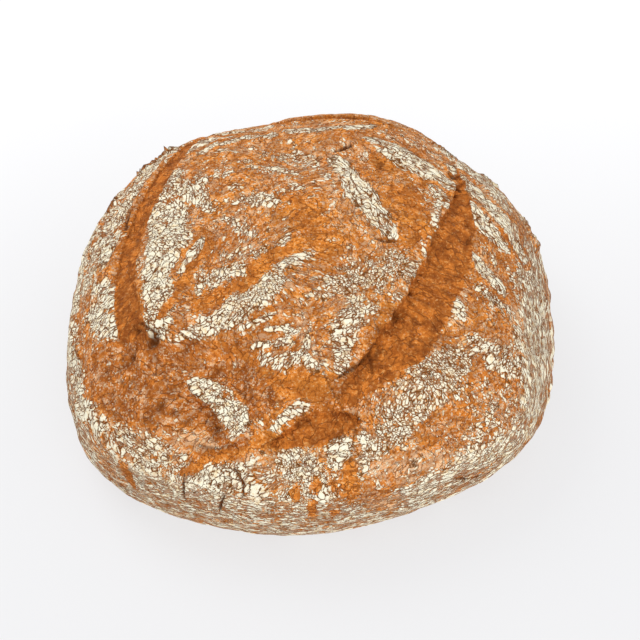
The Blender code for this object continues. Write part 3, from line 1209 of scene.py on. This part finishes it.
def cool_grey(level: float, cooling: float = 0.99) -> Colour:
    """A grey of one linear level, a touch cooler than neutral."""
    return (level * cooling, level * cooling, level, 1.0)


@dataclass(frozen=True)
class CrustFinish:
    """Baked crust with cracked flour, thin dust and bare crumb in the scores.

    Sizes are in millimetres, and other numbers are shares of a mask or of a blend. A
    span is where a mask rises, or falls where its first number is the larger. Painted
    shade darkens the creases, veins, cracks, pits and crag hollows, and rims the specks of dust.
    """

    orange: Colour = colour(234, 144, 54)
    brown: Colour = colour(202, 112, 36)
    # Deep brown for dark grit in the crust, and for painted shade in creases, veins, side lines and round
    # specks of dust.
    deep_brown_and_shade: Colour = colour(116, 58, 18)
    pale: Colour = colour(250, 204, 140)
    crumb: Colour = colour(212, 123, 45)
    crumb_dark: Colour = colour(142, 70, 16)
    crumb_light: Colour = colour(238, 176, 104)
    flour: Colour = colour(254, 247, 221)
    flour_grey: Colour = colour(244, 219, 174)
    flour_tint: Span = (0.44, 0.70)
    flour_clouds: Clouds = Clouds(2.6, 4.0, 0.6)
    lace: Colour = colour(252, 222, 182)
    # Crust seen in the cracks of the flour, darkened by painted shade.
    crack: Colour = colour(114, 67, 20)
    # Dark brown for the burnt tips of flakes, and for painted shade in pits, cracks and crag hollows.
    burnt_and_shade: Colour = colour(66, 30, 10)
    roughness: float = 0.85
    specular: float = 0.15
    broad_clouds: Clouds = Clouds(24.0, 3.0)
    broad_rise: Span = (0.35, 0.65)
    broad_brown: float = 0.55
    mottle_clouds: Clouds = Clouds(4.5, 4.0, 0.62)
    mottle_rise: Span = (0.38, 0.66)
    mottle_brown: float = 0.6
    grit_clouds: Clouds = Clouds(1.3, 4.0, 0.72)
    grit_low: Span = (0.48, 0.36)
    grit_high: Span = (0.54, 0.66)
    grit_dark: float = 0.8
    grit_pale: float = 0.8
    streak_clouds: Clouds = Clouds(6.5, 4.0, 0.65)
    streak_rise: Span = (0.42, 0.62)
    streak_dark: float = 0.6
    crumb_grit_low: Span = (0.50, 0.38)
    crumb_grit_dark: float = 0.6
    crumb_grit_light: float = 0.7
    vein_clouds: Clouds = Clouds(7.0)
    vein_width: Span = (0.022, 0.006)
    # How dark the painted shade in the veins and side lines is.
    vein_dark: float = 0.7
    line_clouds: Clouds = Clouds(5.0, 1.0, 0.4)
    line_width: Span = (0.07, 0.03)
    line_squash: Triple = (1.0, 1.0, 2.4)
    line_side: Span = (1.0, 4.0)
    crease: Span = (-0.15, -0.75)
    # How dark the painted shade in the creases of the folds is.
    crease_dark: float = 0.45
    warps: tuple[tuple[Clouds, float], ...] = ((Clouds(8.0), 2.4), (Clouds(1.6), 0.9))
    patchy_clouds: Clouds = Clouds(6.0, 3.0, 0.6)
    patchy_gain: float = 1.3
    patchy_rise: Span = (0.0, 0.25)
    side: Span = (0.0, 5.0)
    plate_size: float = 3.0
    plate_gain: float = 1.22
    plate_luck: float = 0.75
    plate_on: Span = (0.06, 0.18)
    plate_edge: Span = (0.03, 0.09)
    plate_line: Span = (0.085, 0.035)
    chip_size: float = 1.4
    chip_gain: float = 1.1
    chip_dust: float = 0.42
    chip_on: Span = (0.1, 0.24)
    chip_edge: Span = (0.08, 0.20)
    chip_flour: float = 0.9
    chip_line: Span = (0.09, 0.03)
    chip_line_dark: float = 0.7
    broken_clouds: Clouds = Clouds(5.5)
    broken_fine: float = 0.34
    broken: Span = (0.58, 0.68)
    broken_share: float = 0.9
    broken_edge: Span = (0.03, 0.10)
    thin_spread: float = 0.09
    flour_vein: float = 0.85
    outline_dark: float = 0.95
    thread_clouds: Clouds = Clouds(2.6, 5.0, 0.68)
    thread_dust: float = 0.24
    thread_level: float = 0.66
    thread_rise: Span = (-0.03, 0.10)
    thread_share: float = 0.5
    speck_size: float = 0.9
    speck_dust: float = 0.62
    speck_on: Span = (0.0, 0.12)
    speck_edge: Span = (0.03, 0.16)
    speck_share: float = 0.62
    speck_shade: float = 0.12
    flour_height: float = 0.45
    lace_height: float = 0.15
    vein_height: float = 0.30
    grit_bump_clouds: Clouds = Clouds(1.2, 3.0, 0.6)
    grit_bump: float = 0.8
    rough_bump_clouds: Clouds = Clouds(3.2, 4.0, 0.6)
    crust_bump: float = 0.5

    def build(self) -> bpy.types.Material:
        """Build the material.

        Returns:
            The crust's material.
        """
        material = bpy.data.materials.new("crust_finish")
        material.use_nodes = True
        desk = NodeDesk(material.node_tree)
        shader = material.node_tree.nodes["Principled BSDF"]
        shader.inputs["Roughness"].default_value = self.roughness
        shader.inputs["Specular IOR Level"].default_value = self.specular
        texture = desk.place("ShaderNodeTexCoord")
        places = desk.scaled(texture.outputs["Object"], 1.0 / MM)
        warp = self.warp(desk, places)
        swirl = desk.vector("ADD", desk.stored("swirl", "Vector"), warp)
        grain = desk.vector("ADD", desk.stored("grain", "Vector"), warp)
        vein = desk.larger(self.veins(desk, swirl), self.rim_lines(desk, swirl))
        skin, lace = self.laced(desk, places, swirl, self.skin(desk, places))
        crease = desk.rise(*self.crease, desk.stored("fold"))
        # Painted shade in the creases of the folds, in the veins and in the long lines of the sides.
        shade = desk.larger(desk.times(vein, self.vein_dark), desk.times(crease, self.crease_dark))
        skin = desk.blend(shade, skin, self.deep_brown_and_shade)
        flour, outline = self.flour_layers(desk, places, grain, vein)
        # Lines between the plates and chips of flour: crust in the cracks, darkened by painted shade.
        skin = desk.blend(outline, skin, self.crack)
        tint = desk.rise(*self.flour_tint, desk.cloud(places, self.flour_clouds))
        skin = desk.blend(flour, skin, desk.blend(tint, self.flour, self.flour_grey))
        # The dark mask lays painted shade in pits, cracks and crag hollows, and the burnt tips of flakes.
        skin = desk.blend(desk.stored("dark"), skin, self.burnt_and_shade)
        desk.feed(shader.inputs["Base Color"], skin)
        height = desk.plus(desk.times(flour, self.flour_height), desk.times(lace, self.lace_height))
        height = desk.less(height, desk.times(vein, self.vein_height))
        desk.feed(shader.inputs["Normal"], self.bump(desk, places, height))
        return material

    def warp(self, desk: NodeDesk, places: Feed) -> Socket:
        """Shift places a little, so that the cells of the flour are uneven.

        Args:
            desk: Where the nodes are placed.
            places: Coordinates in millimetres.

        Returns:
            The shift of each place.
        """
        shifts = []
        for clouds, reach in self.warps:
            noise_colour = desk.clouds(places, clouds).outputs["Color"]
            shifts.append(desk.scaled(desk.vector("SUBTRACT", noise_colour, (NOISE_MIDDLE,) * 3), reach))
        return desk.vector("ADD", *shifts)

    def creases(self, desk: NodeDesk, level: Socket, width: Span) -> Socket:
        """Thin lines where a noise passes its middle level."""
        return desk.rise(*width, desk.maths("ABSOLUTE", desk.less(level, NOISE_MIDDLE)))

    def veins(self, desk: NodeDesk, swirl: Feed) -> Socket:
        """Thin wandering creases in the crust."""
        return self.creases(desk, desk.cloud(swirl, self.vein_clouds), self.vein_width)

    def rim_lines(self, desk: NodeDesk, swirl: Feed) -> Socket:
        """Draw long dark lines that run round the sides of the loaf.

        Args:
            desk: Where the nodes are placed.
            swirl: Coordinates that run round the sides.

        Returns:
            How dark the lines are.
        """
        squashed = desk.vector("MULTIPLY", swirl, self.line_squash)
        lines = self.creases(desk, desk.cloud(squashed, self.line_clouds), self.line_width)
        return desk.times(lines, desk.rise(*self.line_side, desk.axis(swirl, "Z")))

    def skin(self, desk: NodeDesk, places: Feed) -> Socket:
        """Colour the bare crust and the crumb in the scores.

        Args:
            desk: Where the nodes are placed.
            places: Coordinates in millimetres.

        Returns:
            The colour under the dust and the flour.
        """
        broad = desk.rise(*self.broad_rise, desk.cloud(places, self.broad_clouds))
        mottle = desk.rise(*self.mottle_rise, desk.cloud(places, self.mottle_clouds))
        grit = desk.cloud(places, self.grit_clouds)
        dark = desk.rise(*self.grit_low, grit)
        light = desk.rise(*self.grit_high, grit)
        crust = desk.blend(desk.times(broad, self.broad_brown), self.orange, self.brown)
        crust = desk.blend(desk.times(mottle, self.mottle_brown), crust, self.brown)
        crust = desk.blend(desk.times(dark, self.grit_dark), crust, self.deep_brown_and_shade)
        crust = desk.blend(desk.times(light, self.grit_pale), crust, self.pale)
        streaks = desk.rise(*self.streak_rise, desk.cloud(places, self.streak_clouds))
        torn = desk.blend(desk.times(streaks, self.streak_dark), self.crumb, self.crumb_dark)
        dark = desk.times(desk.rise(*self.crumb_grit_low, grit), self.crumb_grit_dark)
        torn = desk.blend(dark, torn, self.crumb_dark)
        torn = desk.blend(desk.times(light, self.crumb_grit_light), torn, self.crumb_light)
        return desk.blend(desk.stored("bare"), crust, torn)

    def laced(self, desk: NodeDesk, places: Feed, swirl: Feed, skin: Feed) -> tuple[Socket, Socket]:
        """Lay thin dust on the skin, as threads and as specks.

        Args:
            desk: Where the nodes are placed.
            places: Coordinates in millimetres.
            swirl: Coordinates that swirl over the crust.
            skin: The colour of the bare crust.

        Returns:
            The dusted colour, and how much dust there is.
        """
        dust = desk.stored("dust")
        threads = desk.plus(desk.cloud(swirl, self.thread_clouds), desk.times(dust, self.thread_dust))
        over = desk.rise(*self.thread_rise, desk.less(threads, self.thread_level))
        luck = desk.luck(places, self.speck_size)
        speck_on = desk.rise(*self.speck_on, desk.less(desk.times(dust, self.speck_dust), luck))
        speck = desk.times(speck_on, desk.rise(*self.speck_edge, desk.inside(places, self.speck_size)))
        # Painted shadow: a dark rim round each speck of dust.
        under = desk.times(desk.less(speck_on, speck), self.speck_shade)
        skin = desk.blend(desk.larger(under, 0.0), skin, self.deep_brown_and_shade)
        dusted = desk.larger(desk.times(over, self.thread_share), desk.times(speck, self.speck_share))
        return desk.blend(dusted, skin, self.lace), dusted

    def flour_layers(self, desk: NodeDesk, places: Feed, grain: Feed, vein: Feed) -> tuple[Socket, Socket]:
        """Lay cracked plates and small chips of flour.

        Args:
            desk: Where the nodes are placed.
            places: Coordinates in millimetres.
            grain: Coordinates along the grain of the flour.
            vein: How open the creases of the crust are.

        Returns:
            How much flour covers the crust, and how dark the cracks are.
        """
        stored = desk.stored("thick")
        patchy = desk.less(desk.cloud(places, self.patchy_clouds), NOISE_MIDDLE)
        patchy = desk.times(patchy, self.patchy_gain)
        thick = desk.plus(stored, desk.times(patchy, desk.rise(*self.patchy_rise, stored)))
        side = desk.rise(*self.side, desk.axis(desk.stored("swirl", "Vector"), "Z"))
        plates = desk.times(desk.inside(grain, self.plate_size), desk.plus(1.0, side))
        chips = desk.inside(grain, self.chip_size)
        plate_luck = desk.times(desk.luck(grain, self.plate_size), self.plate_luck)
        plate_on = desk.rise(*self.plate_on, desk.less(desk.times(thick, self.plate_gain), plate_luck))
        dusted = desk.times(desk.stored("dust"), self.chip_dust)
        chip_level = desk.plus(desk.times(thick, self.chip_gain), dusted)
        chip_on = desk.rise(*self.chip_on, desk.less(chip_level, desk.luck(grain, self.chip_size)))
        fine = desk.times(desk.stored("fine"), self.broken_fine)
        broken = desk.rise(*self.broken, desk.plus(desk.cloud(places, self.broken_clouds), fine))
        whole = desk.less(1.0, desk.times(broken, self.broken_share))
        spread = desk.times(desk.less(1.0, thick), self.thin_spread)
        plate_edge = desk.rise(*self.plate_edge, desk.less(plates, spread))
        broken_edge = desk.rise(*self.broken_edge, desk.less(chips, spread))
        plate = desk.times(plate_on, desk.times(plate_edge, desk.larger(broken_edge, whole)))
        chip = desk.times(desk.times(chip_on, desk.rise(*self.chip_edge, chips)), self.chip_flour)
        flour = desk.times(desk.larger(plate, chip), desk.less(1.0, desk.times(vein, self.flour_vein)))
        # Lines at the cracks between plates and chips, for crust darkened by painted shade.
        plate_line = desk.times(plate_on, desk.rise(*self.plate_line, plates))
        chip_line = desk.times(desk.larger(plate_on, chip_on), desk.rise(*self.chip_line, chips))
        chip_line = desk.times(chip_line, desk.times(broken, self.chip_line_dark))
        return flour, desk.times(desk.larger(plate_line, chip_line), self.outline_dark)

    def bump(self, desk: NodeDesk, places: Feed, flour: Feed) -> Socket:
        """Raise the fine relief of the flour, the crust and the crumb.

        Args:
            desk: Where the nodes are placed.
            places: Coordinates in millimetres.
            flour: The height of the flour in millimetres.

        Returns:
            The bumped normal.
        """
        grit = desk.times(desk.cloud(places, self.grit_bump_clouds), self.grit_bump)
        crumb = desk.plus(desk.stored("bare"), self.crust_bump)
        rough = desk.times(desk.cloud(places, self.rough_bump_clouds), crumb)
        node = desk.place("ShaderNodeBump")
        node.inputs["Strength"].default_value = 1.0
        node.inputs["Distance"].default_value = MM
        desk.feed(node.inputs["Height"], desk.plus(flour, desk.plus(grit, rough)))
        return node.outputs["Normal"]


@dataclass
class Loaf:
    """The crust of the loaf, as one closed mesh."""

    form: LoafForm = field(default_factory=LoafForm)
    scores: tuple[Score, ...] = SCORES
    torn: TornFront = field(default_factory=TornFront)
    pits: Pits = field(default_factory=Pits)
    cracks: tuple[Crack, ...] = CRACKS
    side_cracks: tuple[Crack, ...] = SIDE_CRACKS
    flakes: tuple[Flake, ...] = FLAKES
    folds: Folds = field(default_factory=Folds)
    dusting: FlourDusting = field(default_factory=FlourDusting)
    finish: CrustFinish = field(default_factory=CrustFinish)
    sheet_cells: int = 244
    score_margin: float = 2.0
    lumps: tuple[Lumps, ...] = (Lumps(3.0, 95.0, (3.7, 1.3, 8.1)), Lumps(1.5, 38.0, (3.7, 1.3, 8.1)))
    skin_lumps: Lumps = Lumps(0.28, 7.0, (9.0, 1.0, 4.0), octaves=3)
    crags: Lumps = Lumps(1.0, 5.5, (2.0, 6.0, 4.0), octaves=3)
    crag_height: float = 0.36
    # Painted shade in the hollows of the crags of bare crumb: how dark, and over which heights.
    crag_dark: float = 0.35
    crag_shade: Span = (-0.1, -0.6)
    flour_height: float = 0.35
    bare_fold: float = 0.6
    # Painted shade in the pits: the depth at which a pit is darkest, and how dark it gets.
    pit_dark_depth: float = 4.0
    pit_darkest: float = 0.7
    # Painted shade in the cracks: darkness per millimetre of depth, and the most.
    crack_dark: float = 0.6
    crack_darkest: float = 0.85
    flake_dark: Span = (0.3, 0.9)
    fold_thick: float = 0.30
    fold_rise: float = 0.2
    fold_limit: float = 0.3
    thin_limit: float = 0.02
    seam_thick: float = -0.2
    bare_dust: float = 0.85
    torn_dust: float = 0.48

    def all_cracks(self, wrapped: WrappedSheet) -> list[tuple[Crack, np.ndarray]]:
        """Pair each crack with the places it is laid out on.

        Args:
            wrapped: The sheet on the smooth loaf.

        Returns:
            The cracks in plan and then those of the sides, each with its places.
        """
        on_plan = [(crack, wrapped.points) for crack in self.cracks]
        return on_plan + [(crack, wrapped.unrolled) for crack in self.side_cracks]

    def near_cuts(self, wrapped: WrappedSheet) -> np.ndarray:
        """Find which points lie on a score, the tear, the flap or a crack.

        Args:
            wrapped: The sheet on the smooth loaf.

        Returns:
            Whether each point lies on a cut.
        """
        lines = [(score.line, wrapped.points) for score in self.scores]
        lines += [(self.torn.tear, wrapped.points), (self.torn.flap, wrapped.points)]
        lines += [(crack.line, places) for crack, places in self.all_cracks(wrapped)]
        close = np.zeros(len(wrapped.points), dtype=bool)
        for line, places in lines:
            wide = CrustLine(tuple((x, y, width + self.score_margin) for x, y, width, *_ in line.marks))
            close |= wide.cross(places).share < 1.0
        return close

    def flat(self, mesh: bmesh.types.BMesh) -> np.ndarray:
        """The sheet's points as an array."""
        return np.array([vert.co[:2] for vert in mesh.verts])

    def sheet(self) -> bmesh.types.BMesh:
        """Make the crust's flat sheet, with smaller cells along the cuts.

        Returns:
            The sheet, from -1 to 1 both ways.
        """
        mesh = bmesh.new()
        bmesh.ops.create_grid(mesh, x_segments=self.sheet_cells, y_segments=self.sheet_cells, size=1.0)
        close = self.near_cuts(self.form.wrap(self.flat(mesh)))
        mesh.verts.index_update()
        cells = [face for face in mesh.faces if any(close[vert.index] for vert in face.verts)]
        edges = list({edge for cell in cells for edge in cell.edges})
        bmesh.ops.subdivide_edges(mesh, edges=edges, cuts=1, use_grid_fill=True)
        mesh.verts.index_update()
        return mesh

    def shape(self, wrapped: WrappedSheet, ends: np.ndarray) -> tuple[np.ndarray, CrustMap]:
        """Raise and cut the crust.

        Args:
            wrapped: The sheet on the smooth loaf.
            ends: The two points of each edge of the sheet.

        Returns:
            The finished places in millimetres, and the map for the finish.
        """
        points = wrapped.points
        pits = self.pits.depth(points)
        relief = self.torn.relief(points) - pits
        torn = self.torn.bare(points)
        bare = torn
        shift = self.torn.shift(points)
        for score in self.scores:
            relief += score.relief(points)
            bare = np.maximum(bare, score.bare(points))
            shift += score.shift(points)
            LOG.info("score %s: depth %.1f mm", score.name, score.depth)
        # Painted shade: pits darker the deeper they are.
        dark = np.clip(pits / self.pit_dark_depth, 0.0, self.pit_darkest)
        # Cracks sink, and painted shade darkens them more the deeper they are.
        for crack, places in self.all_cracks(wrapped):
            opened = crack.open(places)
            relief -= crack.depth * opened
            dark = np.maximum(dark, min(self.crack_dark * crack.depth, self.crack_darkest) * opened)
        for flake in self.flakes:
            raised = flake.raised(wrapped.unrolled)
            relief += flake.height * raised
            dark = np.maximum(dark, flake.burnt_and_shade * smoothstep(*self.flake_dark, raised))
        for lumps in self.lumps:
            relief += lumps.at(points)
        crags = self.crags.at(points)
        relief += bare * self.crag_height * crags + self.skin_lumps.at(points) * (1.0 - bare)
        flour = self.dusting.cover(wrapped.unrolled)
        fold, fold_height = self.folds.ridges(wrapped.unrolled, flour.swirl)
        relief += fold_height * (1.0 - self.bare_fold * bare) + self.flour_height * flour.thick
        # Painted shade in the low hollows of the crags of bare crumb.
        dark = np.maximum(dark, self.crag_dark * bare * smoothstep(*self.crag_shade, crags))
        fade = smoothstep(0.0, self.form.belly_height, points[:, 2])
        shaped = points + wrapped.facing * (relief * fade)[:, None]
        shaped[:, :2] += shift
        shaped[:, 2] = np.maximum(shaped[:, 2], 0.0)
        thick = flour.thick * (1.0 - bare) * (1.0 - dark)
        ridged = self.fold_thick * np.minimum(fold + self.fold_rise, self.fold_limit)
        thick = np.clip(thick + ridged * (thick > self.thin_limit), 0.0, 1.0)
        seams = ends[flour.owner[ends[:, 0]] != flour.owner[ends[:, 1]]]
        thick[seams.ravel()] = self.seam_thick
        dust = np.maximum(flour.dust * (1.0 - self.bare_dust * bare), self.torn_dust * torn)
        return shaped, CrustMap(thick, dust, bare, dark, fold, flour.fine, flour.grain, flour.swirl)

    def fit_to_frame(self, places: np.ndarray) -> np.ndarray:
        """Bring the crust to the exact size and place of the loaf in the frame.

        Args:
            places: The crust's points in millimetres.

        Returns:
            The fitted points in millimetres.
        """
        low, high = (np.array(corner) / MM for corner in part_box(NODE))
        start, end = places.min(axis=0), places.max(axis=0)
        return low + (places - start) * (high - low) / (end - start)

    def build(self) -> bpy.types.Object:
        """Build the crust with its finish and put it in the frame.

        Returns:
            The crust's object.
        """
        mesh = self.sheet()
        ends = np.array([[vert.index for vert in edge.verts] for edge in mesh.edges])
        places, crust_map = self.shape(self.form.wrap(self.flat(mesh)), ends)
        places = self.fit_to_frame(places) * MM
        rim = [edge for edge in mesh.edges if edge.is_boundary]
        bmesh.ops.holes_fill(mesh, edges=rim, sides=0)
        data = bpy.data.meshes.new("crust")
        mesh.to_mesh(data)
        mesh.free()
        data.vertices.foreach_set("co", places.ravel())
        crust_map.store(data)
        data.update()
        data.materials.append(self.finish.build())
        data.shade_smooth()
        crust = bpy.data.objects.new("crust", data)
        bpy.context.scene.collection.objects.link(crust)
        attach(crust, "root")
        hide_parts(NODE)
        LOG.info("crust: %d points, %d faces", len(data.vertices), len(data.polygons))
        return crust


@dataclass(frozen=True)
class FloorFinish:
    """Pale floor that glows a little more towards the back."""

    base: Colour = (0.2, 0.2, 0.204, 1.0)
    roughness: float = 0.9
    specular: float = 0.1
    front: Colour = cool_grey(0.68)
    back: Colour = cool_grey(0.83)
    rise: Span = (-0.06, 0.30)

    def build(self) -> bpy.types.Material:
        """Build the material.

        Returns:
            The floor's material.
        """
        material = bpy.data.materials.new("floor_finish")
        material.use_nodes = True
        shader = material.node_tree.nodes["Principled BSDF"]
        shader.inputs["Base Color"].default_value = self.base
        shader.inputs["Roughness"].default_value = self.roughness
        shader.inputs["Specular IOR Level"].default_value = self.specular
        shader.inputs["Emission Strength"].default_value = 1.0
        desk = NodeDesk(material.node_tree)
        texture = desk.place("ShaderNodeTexCoord")
        glow = desk.rise(*self.rise, desk.axis(texture.outputs["Object"], "Y"))
        desk.feed(shader.inputs["Emission Color"], desk.blend(glow, self.front, self.back))
        return material


@dataclass(frozen=True)
class SoftBox:
    """A square soft box: its place and size in metres, and its watts."""

    name: str
    place: Triple
    size: float
    watts: float

    def build(self, aim: Triple) -> None:
        """Hang the soft box so that it faces the loaf.

        Args:
            aim: The point that the light faces.
        """
        light = bpy.data.lights.new(self.name, "AREA")
        light.shape = "SQUARE"
        light.size = self.size
        light.energy = self.watts
        lamp = bpy.data.objects.new(self.name, light)
        lamp.location = self.place
        lamp.rotation_euler = (Vector(aim) - Vector(self.place)).to_track_quat("-Z", "Y").to_euler()
        bpy.context.scene.collection.objects.link(lamp)


@dataclass
class Studio:
    """Pale floor, soft light and the camera, in metres and degrees."""

    floor_size: float = 14.0
    floor_finish: FloorFinish = field(default_factory=FloorFinish)
    sky_colour: Colour = (0.97, 0.98, 1.0, 1.0)
    sky_strength: float = 0.80
    soft_boxes: tuple[SoftBox, ...] = (
        SoftBox("key", (-0.55, 0.45, 1.0), size=0.7, watts=5.0),
        SoftBox("fill", (0.95, -2.0, 0.85), size=1.4, watts=22.0))
    aim: Triple = (0.0, 0.0, 0.040)
    lens: float = 85.0
    tilt: float = 52.0
    distance: float = 0.7386
    shift_x: float = 0.0139
    shift_y: float = -0.0304

    def build(self) -> None:
        """Build the floor, the lights and the camera."""
        self.floor()
        self.sky()
        for soft_box in self.soft_boxes:
            soft_box.build(self.aim)
        self.camera()
        LOG.info("studio: floor, sky, soft boxes and camera")

    def floor(self) -> None:
        """Lay a wide pale floor under the loaf."""
        mesh = bmesh.new()
        bmesh.ops.create_grid(mesh, x_segments=1, y_segments=1, size=self.floor_size / 2)
        data = bpy.data.meshes.new("floor")
        mesh.to_mesh(data)
        mesh.free()
        data.materials.append(self.floor_finish.build())
        plate = bpy.data.objects.new("floor", data)
        bpy.context.scene.collection.objects.link(plate)

    def sky(self) -> None:
        """Light the loaf evenly from all round."""
        world = bpy.data.worlds.new("studio_sky")
        world.use_nodes = True
        sky = world.node_tree.nodes["Background"]
        sky.inputs["Color"].default_value = self.sky_colour
        sky.inputs["Strength"].default_value = self.sky_strength
        bpy.context.scene.world = world

    def camera(self) -> None:
        """Place the camera, looking down on the front of the loaf."""
        lens = bpy.data.cameras.new("camera")
        lens.lens = self.lens
        lens.shift_x = self.shift_x
        lens.shift_y = self.shift_y
        camera = bpy.data.objects.new("camera", lens)
        tilt = math.radians(self.tilt)
        back = Vector((0.0, -math.cos(tilt), math.sin(tilt)))
        camera.location = Vector(self.aim) + back * self.distance
        camera.rotation_euler = (-back).to_track_quat("-Z", "Y").to_euler()
        bpy.context.scene.collection.objects.link(camera)
        bpy.context.scene.camera = camera
        bpy.context.scene.view_settings.view_transform = "Standard"


def main() -> None:
    """Build the loaf and the studio."""
    logging.basicConfig(level=logging.INFO, format="%(message)s")
    Loaf().build()
    Studio().build()


if __name__ == "__main__":
    main()
